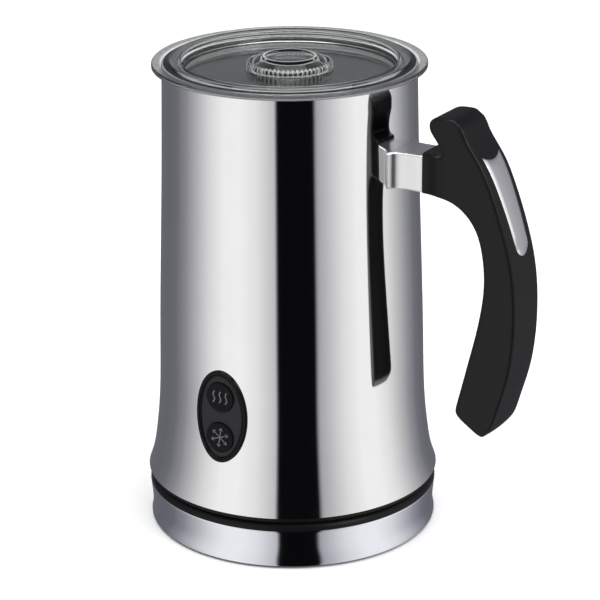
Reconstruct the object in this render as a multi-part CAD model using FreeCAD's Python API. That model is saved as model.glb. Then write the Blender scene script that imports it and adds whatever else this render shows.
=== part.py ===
import FreeCAD, Part
import os
from math import cos, pi, radians, sin

# Cordless milk frother: a double-walled jug with a heater and a magnetic whisk drive, on a round power base.
# Millimetres. The origin is the centre of the base on the surface it stands on, +Z is up, +X points at the
# handle and the button panel faces -Y.

V = FreeCAD.Vector
O, X, Y, Z = V(0, 0, 0), V(1, 0, 0), V(0, 1, 0), V(0, 0, 1)

# General clearances
FIT = 0.05            # radial clearance of a shaft, pin or screw in its hole
GAP = 0.3             # clearance between curved faces that pass each other
SEAT = 0.1            # clearance round a piece that is set into another

# Outer shell of the jug
SHELL_R = 48.3        # outer radius under the lid
SHELL_H = 161.6       # bottom edge to rim
SHELL_WALL = 0.8
SHELL_FLARE = [(0.96, 0.0), (0.725, 1.0), (0.53, 2.1), (0.316, 3.15), (0.162, 4.1), (0.083, 5.5),
               (0.03, 7.1), (0.0, 8.7)]      # share of the height, extra radius
RIM_LIP = 2.5         # width of the shell's lip, turned in over the pot

# Milk pot
POT_GAP = 5.3         # shell's outer radius to the pot's inner radius
POT_WALL = 0.8
POT_CORNER = 6.0
PANEL_TO_FLOOR = 7.5  # button panel's top to the pot's floor

# Power base
FOOT_DROP = 0.8
FOOT_W = 6.0
FOOT_T = 2.0
PLATE_T = 2.4
BAND_WALL = 0.6
BAND_WAIST = 0.7
BAND_LOW = 1.0        # the band's lower edge
BAND_H = 14.6
BAND_INSET = 0.4      # the band's top inside the shell's bottom edge
SHOULDER_H = 3.2
HOUSING_WALL = 2.2
COVER_EDGE = 2.1      # the part of the jug's bottom cover that shows
COVER_T = 2.5
CORD_R = 3.3          # bore of the cord grommet
GROMMET_L = 6.5
GROMMET_WALL = 1.5

# Turning connector between base and jug
MALE_R = 12.0
MALE_WALL = 2.0
MALE_H = 7.7          # above the deck
POST_R = 4.0
PIN_R = 1.2
CONTACT_T = 0.4
FEMALE_WALL = 2.0
FLANGE_T = 2.0

# Drive and heater, hung from the pot's floor, and the board over the bottom cover
BOARD_RISE = 13.9     # bottom cover's underside to the power board
HEAT_PLATE_INSET = 1.5  # inside the pot's radius
HEAT_PLATE_T = 2.6
HEATER_INSET = 10.5   # inside the heat plate's radius
HEATER_TUBE_R = 3.2
HEATER_GAP_DEG = 50.0
SPACER_L = 9.1
BRACKET_T = 1.5
FRAME_POST_R = 3.0
FRAME_POST_INSET = 10.3  # inside the shell's top radius
MOTOR_R = 13.8
MOTOR_L = 28.0
END_CAP_T = 4.0
SHAFT_R = 1.0
DRIVE_HUB_R = 12.5
DRIVE_HUB_T = 7.9
MAGNET_R = 2.5
MAGNET_T = 3.0
MAGNET_PITCH_R = 8.0
MAGNET_COUNT = 4
DRIVE_AIR = 0.8       # drive hub to the underside of the pot's floor

# Whisk
WHISK_POST_R = 1.6
WHISK_POST_L = 14.0
SLEEVE_WALL = 0.95
WHISK_HUB_H = 11.0
WHISK_DISC_T = 4.5
COIL_R = 16.6
COIL_TUBE_R = 2.6

# Lid
LID_OVERHANG = 3.7
LID_T = 1.8
LID_BEAD_H = 0.8
LID_BEAD_W = 5.3
LID_PLUG_GAP = 0.8
LID_PLUG_H = 7.3
LID_FLOOR_DROP = 1.5  # recess floor under the rim
LID_WALL = 2.0
KNOB_R = 16.3
KNOB_TOP_R = 9.75
KNOB_H = 4.9
KNOB_FLUTES = 56
FLUTE_R = 0.62
SEAL_H = 3.4

# Button panel
PANEL_SIDE = 5.4      # button to the bezel's outer edge, across
PANEL_END = 4.45      # button to the bezel's outer edge, up and down
PANEL_RISE = 18.7     # shell's bottom edge to the bezel's lower end
PANEL_PROUD = 0.9
PANEL_LIP = 1.2       # bezel's overlap on the shell
BEZEL_RIM = 2.1
FACE_SUNK = 0.55      # panel face under the bezel's rim
PANEL_DEPTH = 4.4     # from the shell's surface to the panel's flat back
BUTTON_R = 5.8
BUTTON_SPACE = 4.5    # between the two buttons
BUTTON_TRAVEL = 0.8
BOARD_T = 1.6
FRAME_DEPTH = 7.4
SWITCH_H = 3.4
SWITCH_W = 6.0
PLUNGER_R = 1.7

# Handle
BRACKET_H = 14.1
BRACKET_DROP = 24.9   # bracket's top under the rim
BRACKET_REACH = 12.7  # shell's top radius to the seam with the grip
BRACKET_W = 15.0
BRACKET_FLARE = 3.6
TENON_L = 8.0
TENON_W = 9.0
TENON_H = 8.8
HANDLE_W = 20.4
NECK_W = 15.6
HANDLE_EDGE = 2.0
INLAY_PROUD = 0.5
INLAY_DEPTH = 0.9
INLAY_TOP_W = 13.2
INLAY_END_W = 9.6
INLAY_HOLLOW = 1.8
INLAY_TOP_DROP = 22.2  # under the rim
INLAY_END_DROP = 58.7

# Heights and radii that follow
foot_z = FOOT_DROP
plate_top = FOOT_DROP + PLATE_T
band_z = BAND_LOW
band_top = band_z + BAND_H
deck_z = band_top + SHOULDER_H
cover_z = deck_z + GAP
shell_z = cover_z + COVER_EDGE
rim_z = shell_z + SHELL_H
pot_r = SHELL_R - POT_GAP
heat_plate_r = pot_r - HEAT_PLATE_INSET
heater_r = heat_plate_r - HEATER_INSET
frame_post_pitch_r = SHELL_R - FRAME_POST_INSET
button_pitch = 2 * BUTTON_R + BUTTON_SPACE
panel_w = 2 * (BUTTON_R + PANEL_SIDE)
panel_h = button_pitch + 2 * (BUTTON_R + PANEL_END)
panel_z = shell_z + PANEL_RISE + panel_h / 2
floor_z = panel_z + panel_h / 2 + PANEL_TO_FLOOR
shell_bottom_r = SHELL_R + SHELL_FLARE[-1][1]
base_r = shell_bottom_r - BAND_INSET
beyond = shell_bottom_r + 13.0
heat_z = floor_z - POT_WALL - HEAT_PLATE_T
bracket_z = heat_z - SPACER_L - BRACKET_T
motor_z = bracket_z - MOTOR_L
board_z = cover_z + BOARD_RISE
seam_x = SHELL_R + BRACKET_REACH
bracket_top = rim_z - BRACKET_DROP
bracket_mid = bracket_top - BRACKET_H / 2


def ring(inner, outer, low, high, x=0, y=0):
    """A plain ring or disc standing on the plane z = low."""
    solid = Part.makeCylinder(outer, high - low, V(x, y, low))
    if inner > 0:
        solid = solid.cut(Part.makeCylinder(inner, high - low + 2, V(x, y, low - 1)))
    return solid


def box(low, high):
    return Part.makeBox(high[0] - low[0], high[1] - low[1], high[2] - low[2], V(*low))


def outline(items, plane):
    """A closed face: points are joined by lines, a nested list is a smooth curve from the last point."""
    start = plane(*items[0])
    here = start
    edges = []
    for item in items[1:]:
        if isinstance(item, list):
            points = [here] + [plane(*p) for p in item]
            if len(points) == 3:
                edges.append(Part.Arc(*points).toShape())
            else:
                curve = Part.BSplineCurve()
                curve.interpolate(points)
                edges.append(curve.toShape())
            here = points[-1]
        else:
            there = plane(*item)
            edges.append(Part.makeLine(here, there))
            here = there
    if here.distanceToPoint(start) > 1e-6:
        edges.append(Part.makeLine(here, start))
    return Part.Face(Part.Wire(edges))


def in_xz(x, z):
    return V(x, 0, z)


def in_xy(x, y):
    return V(x, y, 0)


def in_yz(y, z):
    return V(0, y, z)


def turned(items):
    """A body of revolution about Z from an outline of (radius, height)."""
    return outline(items, in_xz).revolve(O, Z, 360)


def around(shape, count, first=0.0):
    """The same piece repeated about Z, as separate solids."""
    copies = []
    for i in range(count):
        copy = shape.copy()
        copy.rotate(O, Z, first + 360.0 * i / count)
        copies.append(copy)
    return copies


def polar(radius, degrees):
    return radius * cos(radians(degrees)), radius * sin(radians(degrees))


def screw(head_r, head_h, shank_r, length):
    """A pan-head screw pointing up, with the underside of its head on z = 0."""
    return ring(0, head_r, -head_h, 0).fuse(ring(0, shank_r, 0, length))


def flare_points(offset):
    """The shell's outer line from the top down, moved out by an offset."""
    points = []
    for share, extra in SHELL_FLARE:
        points.append((SHELL_R + extra + offset, shell_z + share * SHELL_H))
    return points


def shell_radius(height):
    """The shell's outer radius at a height, on straight lines between the points of its flare."""
    points = flare_points(0.0)
    for (r_high, z_high), (r_low, z_low) in zip(points, points[1:]):
        if z_low <= height <= z_high:
            return r_low + (r_high - r_low) * (height - z_low) / (z_high - z_low)
    return SHELL_R


def body_inside(offset):
    """Everything inside the shell's outer surface, moved out by an offset."""
    points = flare_points(offset)
    top = (SHELL_R + offset, rim_z)
    return turned([(0, shell_z), (0, rim_z), top, points[0], points[1:]])


def across(radius, length, place):
    """A cylinder along +X from a point."""
    return Part.makeCylinder(radius, length, V(*place), X)


# Power base

def foot_ring():
    outer = base_r - 6.6
    return ring(outer - FOOT_W, outer, 0, FOOT_T)


def base_screw_places():
    return [polar(base_r - 20.6, a) for a in (30, 150, 270)]


def base_bottom_plate():
    plate = ring(0, base_r - BAND_WAIST - BAND_WALL - 0.3, foot_z, plate_top)
    outer = base_r - 6.6
    plate = plate.cut(ring(outer - FOOT_W, outer, foot_z, FOOT_T))
    for x, y in base_screw_places():
        plate = plate.cut(ring(0, 3.1, foot_z, foot_z + 1.3, x, y))
        plate = plate.cut(ring(0, 1.7, foot_z, plate_top, x, y))
    return plate


def base_plate_screws():
    solids = []
    for x, y in base_screw_places():
        one = screw(3.0, 1.2, 1.45, 9.0)
        one.translate(V(x, y, foot_z + 1.3))
        solids.append(one)
    return Part.makeCompound(solids)


def base_band():
    waist = base_r - BAND_WAIST
    outer = [(base_r - 0.2, band_z), (base_r - 0.2, band_z + 0.6),
             [(waist, band_z + 3.4), (waist + 0.05, band_z + 8.0), (base_r, band_top)]]
    inner = [(base_r - BAND_WALL, band_top), [(waist + 0.05 - BAND_WALL, band_z + 8.0),
             (waist - BAND_WALL, band_z + 3.4), (base_r - 0.2 - BAND_WALL, band_z + 0.6)],
             (base_r - 0.2 - BAND_WALL, band_z)]
    band = turned(outer + inner)
    return band.cut(cord_hole(CORD_R + GROMMET_WALL + SEAT))


def cord_hole(radius):
    return Part.makeCylinder(radius, 20, V(0, base_r - 12, cord_z()), Y)


def cord_z():
    return plate_top + CORD_R + GROMMET_WALL + 1.2


def base_housing():
    outer = base_r - BAND_WAIST - BAND_WALL - SEAT
    shoulder = base_r - BAND_WALL / 2
    wall = outer - HOUSING_WALL
    top = deck_z - HOUSING_WALL
    hub = MALE_R + GAP
    body = turned([(outer, plate_top), (outer, band_top), (shoulder, band_top),
                   [(shoulder - 0.9, deck_z - 0.9), (shoulder - 3.4, deck_z)],
                   (hub, deck_z), (hub, top), (wall, top), (wall, plate_top)])
    for x, y in base_screw_places():
        body = body.fuse(ring(0, 3.6, plate_top, top, x, y))
    for x, y in base_screw_places():
        body = body.cut(ring(0, 1.5, plate_top - 1, plate_top + 9, x, y))
    for x, y in connector_screw_places():
        body = body.cut(ring(0, 1.25, top - 1, deck_z - 0.6, x, y))
    return body.cut(cord_hole(CORD_R + GROMMET_WALL + SEAT))


def cord_grommet():
    wall_face = base_r - BAND_WAIST - BAND_WALL - SEAT - HOUSING_WALL
    start = base_r - GROMMET_L
    bush = Part.makeCylinder(CORD_R + GROMMET_WALL, GROMMET_L, V(0, start, cord_z()), Y)
    flange = Part.makeCylinder(CORD_R + GROMMET_WALL + 0.9, wall_face - start - 1.3, V(0, start, cord_z()), Y)
    return bush.fuse(flange).cut(cord_hole(CORD_R))


def connector_screw_places():
    return [polar(MALE_R + 4.4, a) for a in (0, 180)]


def base_connector():
    under = deck_z - HOUSING_WALL
    top = deck_z + MALE_H
    floor = deck_z + 0.2
    bore = POST_R - 1.4
    flange_r = MALE_R + 8
    body = turned([(PIN_R + FIT, under - 2.2), (flange_r, under - 2.2), (flange_r, under), (MALE_R, under),
                   (MALE_R, top - 0.6), (MALE_R - 0.6, top), (MALE_R - MALE_WALL, top),
                   (MALE_R - MALE_WALL, floor), (POST_R, floor), (POST_R, top - 1.0), (bore, top - 1.0),
                   (bore, floor), (PIN_R + FIT, floor)])
    for x, y in connector_screw_places():
        body = body.cut(ring(0, 1.3, under - 3, under + 1, x, y))
    return body


def connector_screws():
    solids = []
    for x, y in connector_screw_places():
        one = screw(2.4, 1.5, 1.2, 3.6)
        one.translate(V(x, y, deck_z - HOUSING_WALL - 2.2))
        solids.append(one)
    return Part.makeCompound(solids)


def base_contacts():
    low = deck_z + 1.2
    high = deck_z + MALE_H - 1.5
    inside = MALE_R - MALE_WALL
    pin = ring(0, PIN_R, deck_z - 9, high)
    return Part.makeCompound([pin, ring(POST_R, POST_R + CONTACT_T, low, high),
                              ring(inside - CONTACT_T, inside, low, high)])


# The part of the connector that is lifted with the jug

def jug_connector():
    inner = MALE_R + 1.0
    outer = inner + FEMALE_WALL
    top = deck_z + MALE_H + 1.5
    low = deck_z + 1.4
    tongue_in = POST_R + CONTACT_T + GAP + CONTACT_T
    tongue_out = MALE_R - MALE_WALL - CONTACT_T - GAP - CONTACT_T
    tube = 2.3 + FIT
    return turned([(tube, top), (tongue_in, top), (tongue_in, low), (tongue_out, low), (tongue_out, top),
                   (inner, top), (inner, deck_z), (outer, deck_z), (outer, top), (outer + 2, top),
                   (outer + 2, top + FLANGE_T), (tube, top + FLANGE_T)])


def jug_contacts():
    low = deck_z + 1.8
    high = deck_z + MALE_H - 0.5
    top = deck_z + MALE_H + 1.5
    tongue_in = POST_R + CONTACT_T + GAP
    tongue_out = MALE_R - MALE_WALL - CONTACT_T - GAP
    tube = ring(PIN_R + GAP, 2.3, deck_z + 2.2, top + FLANGE_T + 2)
    return Part.makeCompound([tube, ring(tongue_in, tongue_in + CONTACT_T, low, high),
                              ring(tongue_out - CONTACT_T, tongue_out, low, high)])


# Jug: bottom cover, shell and pot

def frame_post_places():
    return [polar(frame_post_pitch_r, a) for a in (90, 210, 330)]


def board_post_places():
    return [polar(frame_post_pitch_r + 4.5, a) for a in (30, 150, 270)]


def bottom_cover():
    hole = MALE_R + 1.0 + FEMALE_WALL + GAP
    edge = shell_bottom_r - SHELL_WALL + 0.3
    rim = shell_radius(shell_z + 4.4) - SHELL_WALL - GAP
    plate_high = cover_z + COVER_T
    body = turned([(hole, cover_z), (edge - 0.6, cover_z), (edge, cover_z + 0.6), (edge, shell_z),
                   (rim, shell_z), (rim, shell_z + 4.0), (rim - 1.8, shell_z + 4.0), (rim - 1.8, plate_high),
                   (hole, plate_high)])
    for x, y in board_post_places():
        body = body.fuse(ring(0, 3.0, plate_high - 0.5, board_z, x, y))
    for x, y in board_post_places():
        body = body.cut(ring(0, 1.3, board_z - 8, board_z + 1, x, y))
    for x, y in frame_post_places():
        body = body.cut(ring(0, 3.1, cover_z, cover_z + 1.7, x, y))
        body = body.cut(ring(0, 1.6, cover_z, plate_high, x, y))
    return body


def bottom_cover_screws():
    solids = []
    for x, y in frame_post_places():
        one = screw(3.0, 1.5, 1.45, 11.0)
        one.translate(V(x, y, cover_z + 1.7))
        solids.append(one)
    return Part.makeCompound(solids)


def outer_shell():
    points = flare_points(0.0)
    inner = flare_points(-SHELL_WALL)
    inner.reverse()
    lip = SHELL_R - RIM_LIP
    shell = turned([points[-1], inner[0], inner[1:], (SHELL_R - SHELL_WALL, rim_z - SHELL_WALL),
                    (lip, rim_z - SHELL_WALL), (lip, rim_z), (SHELL_R - 0.8, rim_z),
                    [(SHELL_R - 0.23, rim_z - 0.23), (SHELL_R, rim_z - 0.8)], points[0], points[1:]])
    shell = shell.cut(panel_prism(-PANEL_LIP, panel_back() - 15, beyond))
    for z in bracket_screw_heights():
        shell = shell.cut(across(1.5 + SEAT, 20, (SHELL_R - 10, 0, z)))
    return shell


def milk_pot():
    out = pot_r + POT_WALL
    flange = SHELL_R - SHELL_WALL - GAP
    under = floor_z - POT_WALL
    top = rim_z - SHELL_WALL
    bend = POT_CORNER * (1 - cos(pi / 4))
    out_corner = POT_CORNER + POT_WALL
    out_bend = out_corner * (1 - cos(pi / 4))
    pot = turned([(0, under), (out - out_corner, under), [(out - out_bend, under + out_bend),
                  (out, under + out_corner)], (out, top - POT_WALL), (flange, top - POT_WALL), (flange, top),
                  (pot_r + 0.6, top), [(pot_r + 0.18, top - 0.18), (pot_r, top - 0.6)],
                  (pot_r, floor_z + POT_CORNER), [(pot_r - bend, floor_z + bend),
                  (pot_r - POT_CORNER, floor_z)], (0, floor_z)])
    return pot


# Heater and motor under the pot

def heat_plate():
    plate = ring(DRIVE_HUB_R + 2.5, heat_plate_r, heat_z, heat_z + HEAT_PLATE_T)
    for x, y in frame_post_places():
        plate = plate.cut(ring(0, 1.5 + FIT, heat_z - 1, heat_z + 2, x, y))
    return plate


def heater_element():
    sunk = 0.3
    middle = heat_z - HEATER_TUBE_R + sunk
    turn = 360 - HEATER_GAP_DEG
    tube = Part.makeTorus(heater_r, HEATER_TUBE_R, V(0, 0, middle), Z, 0, 360, turn)
    tube.rotate(O, Z, 270 + HEATER_GAP_DEG / 2)
    for side in (-1, 1):
        x, y = polar(heater_r, 270 + side * (HEATER_GAP_DEG / 2 + 3))
        tube = tube.fuse(ring(0, 1.3, middle - 15, middle, x, y))
    return tube.cut(ring(0, heater_r + 10, heat_z, heat_z + 5))


def thermal_cutoff():
    """A disc thermostat in the gap between the heater's two ends."""
    body = ring(0, 5.0, heat_z - 6.6, heat_z, 0, -heater_r)
    for x in (-3.2, 2.6):
        body = body.fuse(box((x, -heater_r - 2, heat_z - 8.6), (x + 0.6, 2 - heater_r, heat_z - 6.6)))
    return body


def temperature_sensor():
    middle = (DRIVE_HUB_R + 2.5 + heater_r - HEATER_TUBE_R) / 2
    return ring(0, 2.4, heat_z - 8, heat_z, -middle, 0)


def frame_posts():
    solids = []
    low = cover_z + COVER_T
    for x, y in frame_post_places():
        post = ring(0, FRAME_POST_R, low, bracket_z, x, y)
        post = post.cut(ring(0, 1.5, low - 1, low + 13, x, y))
        solids.append(post)
    return Part.makeCompound(solids)


def post_spacers():
    solids = []
    for x, y in frame_post_places():
        stud = ring(0, 1.5, heat_z - 1, heat_z + 1.5, x, y)
        solids.append(ring(0, FRAME_POST_R, bracket_z + BRACKET_T, heat_z, x, y).fuse(stud))
    return Part.makeCompound(solids)


def motor_bracket():
    high = bracket_z + BRACKET_T
    plate = ring(0, heater_r - 9.2, bracket_z, high)
    arm = box((0, -6, bracket_z), (frame_post_pitch_r, 6, high))
    arm = arm.fuse(ring(0, 6, bracket_z, high, frame_post_pitch_r, 0))
    for one in around(arm, 3, 90):
        plate = plate.fuse(one)
    plate = plate.cut(ring(0, 4.6, bracket_z - 1, high + 1))
    for x, y in motor_screw_places():
        plate = plate.cut(ring(0, 1.3, bracket_z - 1, high + 1, x, y))
    return plate


def motor_screw_places():
    return [polar(MAGNET_PITCH_R, a) for a in (0, 180)]


def motor_screws():
    solids = []
    for x, y in motor_screw_places():
        one = screw(2.2, 1.3, 1.15, 3.2)
        one.rotate(O, X, 180)
        one.translate(V(x, y, bracket_z + BRACKET_T))
        solids.append(one)
    return Part.makeCompound(solids)


def motor_can():
    can = ring(MOTOR_R - 1, MOTOR_R, motor_z, bracket_z - 1)
    cap = ring(4.0, MOTOR_R, bracket_z - 1, bracket_z)
    can = can.fuse(cap).removeSplitter()
    for x, y in motor_screw_places():
        can = can.cut(ring(0, 1.2, bracket_z - 2, bracket_z + 1, x, y))
    return can


def motor_end_cap():
    cap = ring(SHAFT_R + FIT, MOTOR_R, motor_z - END_CAP_T, motor_z)
    return cap.cut(ring(0, 5, motor_z - END_CAP_T + 2, motor_z + 1))


def motor_bushing():
    return ring(SHAFT_R + FIT, 4.0 - FIT, bracket_z - 3.5, bracket_z + BRACKET_T + 1.0)


def motor_field_magnets():
    inner = MOTOR_R - 2.6
    outer = MOTOR_R - 1 - SEAT
    solids = []
    for start in (-60, 120):
        arc = Part.makeCylinder(outer, 20, V(0, 0, motor_z + 4), Z, 120)
        arc.rotate(O, Z, start)
        solids.append(arc.cut(ring(0, inner, motor_z, motor_z + 30)))
    return Part.makeCompound(solids)


def motor_armature():
    radius = MOTOR_R - 2.6 - 0.6
    core = ring(SHAFT_R + FIT, radius, motor_z + 5, motor_z + 22)
    slot = box((5.0, -1.2, motor_z + 4), (radius + 2, 1.2, motor_z + 23))
    for one in around(slot, 5):
        core = core.cut(one)
    commutator = ring(SHAFT_R + FIT, 3.0, motor_z + 0.8, motor_z + 5)
    return core.fuse(commutator)


def motor_shaft():
    return ring(0, SHAFT_R, motor_z - END_CAP_T + 0.5, hub_top() - 1.2)


def hub_top():
    return floor_z - POT_WALL - DRIVE_AIR


def drive_hub():
    top = hub_top()
    hub = ring(0, DRIVE_HUB_R, top - MAGNET_T - 1.2, top)
    hub = hub.fuse(ring(0, 5.0, top - DRIVE_HUB_T, top))
    hub = hub.cut(ring(0, SHAFT_R + FIT, top - DRIVE_HUB_T - 1, top - 1.1))
    for x, y in magnet_places():
        hub = hub.cut(ring(0, MAGNET_R + FIT, top - MAGNET_T, top + 1, x, y))
    return hub


def magnet_places():
    return [polar(MAGNET_PITCH_R, 360.0 * i / MAGNET_COUNT) for i in range(MAGNET_COUNT)]


def drive_magnets():
    top = hub_top()
    return Part.makeCompound([ring(0, MAGNET_R, top - MAGNET_T, top, x, y) for x, y in magnet_places()])


# Power board

def board_r():
    return shell_radius(board_z) - 6.5


def power_board():
    board = ring(MOTOR_R + 5, board_r(), board_z, board_z + BOARD_T)
    for x, y in frame_post_places():
        board = board.cut(ring(0, FRAME_POST_R + GAP, board_z - 1, board_z + 3, x, y))
    for x, y in board_post_places():
        board = board.cut(ring(0, 1.5, board_z - 1, board_z + 3, x, y))
    return board


def board_screws():
    solids = []
    for x, y in board_post_places():
        one = screw(2.6, 1.4, 1.25, 8.0)
        one.rotate(O, X, 180)
        one.translate(V(x, y, board_z + BOARD_T))
        solids.append(one)
    return Part.makeCompound(solids)


def board_relay():
    low = board_z + BOARD_T
    edge = board_r() - 7.5
    side = board_post_places()[1][1] - 6.25
    return box((-edge, side - 19, low), (15.5 - edge, side, low + 15.5))


def board_capacitor():
    low = board_z + BOARD_T
    body = ring(0, 6.3, low, low + 17, board_r() - 17.5, 4)
    return body.makeFillet(0.8, [e for e in body.Edges if e.CenterOfMass.z > low + 16.9])


# Button panel

def panel_prism(grow, depth_low, depth_high):
    """An oval bar along Y through the panel, grown by an amount all round, from one depth to another."""
    start = V(0, -depth_high, panel_z)
    oval = Part.Ellipse(start + V(0, 0, panel_h / 2 + grow), start + V(panel_w / 2 + grow, 0, 0), start)
    return Part.Face(Part.Wire(oval.toShape())).extrude(V(0, depth_high - depth_low, 0))


def panel_back():
    return shell_radius(panel_z) - PANEL_DEPTH


def button_heights():
    return {"hot": panel_z + button_pitch / 2 - 0.3, "cold": panel_z - button_pitch / 2 - 0.3}


def panel_bezel():
    back = panel_back()
    proud = body_inside(PANEL_PROUD)
    flange = panel_prism(0, back, beyond).common(proud).cut(body_inside(0.0))
    neck = panel_prism(-PANEL_LIP - SEAT, back, beyond).common(proud)
    return flange.fuse(neck).cut(panel_prism(-BEZEL_RIM, back - 5, beyond))


def panel_face():
    back = panel_back()
    face = panel_prism(-BEZEL_RIM - SEAT, back, beyond).common(body_inside(PANEL_PROUD - FACE_SUNK))
    for z in button_heights().values():
        face = face.cut(Part.makeCylinder(BUTTON_R + 0.2, beyond - back + 1, V(0, -beyond, z), Y))
    return face


def panel_frame():
    back = panel_back()
    grow = -PANEL_LIP + 2.4
    frame = panel_prism(grow, back - FRAME_DEPTH, back - SEAT)
    ear = Part.makeBox(7, FRAME_DEPTH - SEAT, panel_h + 7, V(-3.5, -back + SEAT, panel_z - panel_h / 2 - 3.5))
    frame = frame.fuse(ear).cut(panel_prism(-PANEL_LIP - 1.0, 0, beyond))
    for z in board_ear_heights():
        frame = frame.cut(Part.makeCylinder(0.95, 6, V(0, -back + FRAME_DEPTH - 5, z), Y))
    return frame


def board_ear_heights():
    return [panel_z - panel_h / 2 - 1.4, panel_z + panel_h / 2 + 1.4]


def button_board():
    front = panel_back() - FRAME_DEPTH
    board = panel_prism(-PANEL_LIP + 2.0, front - BOARD_T, front)
    ear = Part.makeBox(7, BOARD_T, panel_h + 7, V(-3.5, -front, panel_z - panel_h / 2 - 3.5))
    board = board.fuse(ear)
    for z in board_ear_heights():
        board = board.cut(Part.makeCylinder(1.1, 6, V(0, -front - 1, z), Y))
    return board


def button_board_screws():
    back = panel_back() - FRAME_DEPTH - BOARD_T
    solids = []
    for z in board_ear_heights():
        one = screw(1.9, 1.2, 0.9, 5.0)
        one.rotate(O, X, 90)
        one.translate(V(0, -back, z))
        solids.append(one)
    return Part.makeCompound(solids)


def tact_switches():
    front = panel_back() - FRAME_DEPTH
    half = SWITCH_W / 2
    solids = []
    for z in button_heights().values():
        body = box((-half, -front - SWITCH_H, z - half), (half, -front, z + half))
        hole = Part.makeCylinder(PLUNGER_R + SEAT, BUTTON_TRAVEL + 0.4, V(0, -front - SWITCH_H, z), Y)
        solids.append(body.cut(hole))
    return Part.makeCompound(solids)


def indicator_leds():
    front = panel_back() - FRAME_DEPTH
    return Part.makeCompound([box((x - 1, -front - 1.6, panel_z - 1.3), (x + 1, -front, panel_z + 0.7))
                              for x in (-6, 6)])


def button_cap(z):
    back = panel_back()
    front = shell_radius(z) + PANEL_PROUD - 0.15
    cap = Part.makeCylinder(BUTTON_R, front - back + 0.2, V(0, -front, z), Y)
    dish = Part.makeSphere(60, V(0, -front - 60 + 0.35, z))
    cap = cap.cut(dish)
    flange = Part.makeCylinder(BUTTON_R + 0.75, 1.0, V(0, -back + 0.2, z), Y)
    stem_end = back - FRAME_DEPTH + SWITCH_H + 1.0
    stem = Part.makeCylinder(2.0, back - 0.2 - stem_end, V(0, -back + 0.2, z), Y)
    return cap.fuse(flange).fuse(stem)


def switch_plunger(z):
    front = panel_back() - FRAME_DEPTH + SWITCH_H
    return Part.makeCylinder(PLUNGER_R, 1.0 + 0.2, V(0, -front - 1.0, z), Y)


# Handle

def bracket_screw_heights():
    return [bracket_mid - 4.3, bracket_mid + 4.3]


def handle_bracket():
    low = bracket_top - BRACKET_H
    half = BRACKET_W / 2
    wide = half + BRACKET_FLARE
    start = SHELL_R - 8
    side = [(start, -wide), (SHELL_R - 0.4, -wide),
            [(SHELL_R + 1.4, -half - 1.5), (SHELL_R + 4.4, -half - 0.5), (seam_x, -half)]]
    other = [(seam_x, half), [(SHELL_R + 4.4, half + 0.5), (SHELL_R + 1.4, half + 1.5),
             (SHELL_R - 0.4, wide)], (start, wide)]
    block = outline(side + other, in_xy).extrude(V(0, 0, BRACKET_H))
    block.translate(V(0, 0, low))
    edges = [e for e in block.Edges if abs(e.CenterOfMass.z - bracket_mid) > BRACKET_H / 2 - 0.01
             and e.BoundBox.XMin > SHELL_R - 0.5 and e.BoundBox.YLength < wide]
    block = block.makeFillet(0.9, edges)
    block = block.cut(body_inside(SEAT))
    block = block.fuse(tenon(0.0))
    for z in bracket_screw_heights():
        block = block.cut(across(1.5 + FIT, 8.5, (SHELL_R - 1, 0, z)))
    return block.cut(across(2.0 + FIT, 14, (seam_x + TENON_L - 13.5, 0, bracket_mid)))


def tenon(grow):
    half_w = TENON_W / 2 + grow
    half_h = TENON_H / 2 + grow
    low = (seam_x - 1 + grow, -half_w, bracket_mid - half_h)
    return box(low, (seam_x + TENON_L + grow, half_w, bracket_mid + half_h))


def bracket_screws():
    solids = []
    for z in bracket_screw_heights():
        one = screw(2.8, 2.0, 1.5, 9.0)
        one.rotate(O, Y, 90)
        one.translate(V(backing_face() - 0.15, 0, z))
        solids.append(one)
    return Part.makeCompound(solids)


def backing_face():
    return shell_radius(bracket_mid) - SHELL_WALL - SEAT - 1.2


def handle_backing_plate():
    low = bracket_mid - 10
    outer = body_inside(-SHELL_WALL - SEAT)
    inner = ring(0, backing_face(), shell_z, rim_z)
    plate = outer.cut(inner).common(box((0, -13, low), (SHELL_R + 5, 13, low + 20)))
    for z in bracket_screw_heights():
        plate = plate.cut(across(1.5 + SEAT, 20, (SHELL_R - 10, 0, z)))
    return plate


def grip_line(points, push=0.0):
    """Points of the grip's side view, given as distance out from the shell and distance under the rim."""
    return [(SHELL_R + out + push, rim_z - drop) for out, drop in points]


OUTER_LINE = [(43.2, 128.0), (46.9, 119.8), (50.9, 105.8), (53.1, 90.0), (53.2, 75.8), (51.8, 63.0),
              (48.4, 49.6), (43.4, 35.6), (37.1, 22.9), (31.7, 14.8)]
INNER_LINE = [(24.0, 39.7), (31.0, 43.4), (35.9, 49.6), (38.7, 58.8), (39.6, 69.3), (38.6, 79.8),
              (36.4, 90.8), (33.4, 102.8), (29.3, 119.0)]
HEEL_LINE = [(29.0, 122.2), (31.0, 124.6), (34.2, 126.8), (37.4, 128.9), (40.4, 129.8)]
THUMB_LINE = [(29.6, 11.0), (26.6, 9.3), (22.6, 9.0), (19.0, 9.4), (16.6, 11.0), (16.6, 13.8), (18.8, 17.2),
              (20.8, 20.4), (21.2, 22.8)]


def grip_body():
    """The grip's side view, one smooth line from the seam round to the seam, carried across its width."""
    top = BRACKET_DROP - 1.0
    low = BRACKET_DROP + BRACKET_H + 0.1
    line = [(18.0, low)] + INNER_LINE + HEEL_LINE + OUTER_LINE + THUMB_LINE
    line += [(19.0, top - 0.1), (15.6, top), (BRACKET_REACH, top)]
    side = outline([grip_line([(BRACKET_REACH, low)])[0], grip_line(line)], in_xz)
    side.translate(V(0, -HANDLE_W / 2, 0))
    return side.extrude(V(0, HANDLE_W, 0))


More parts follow.
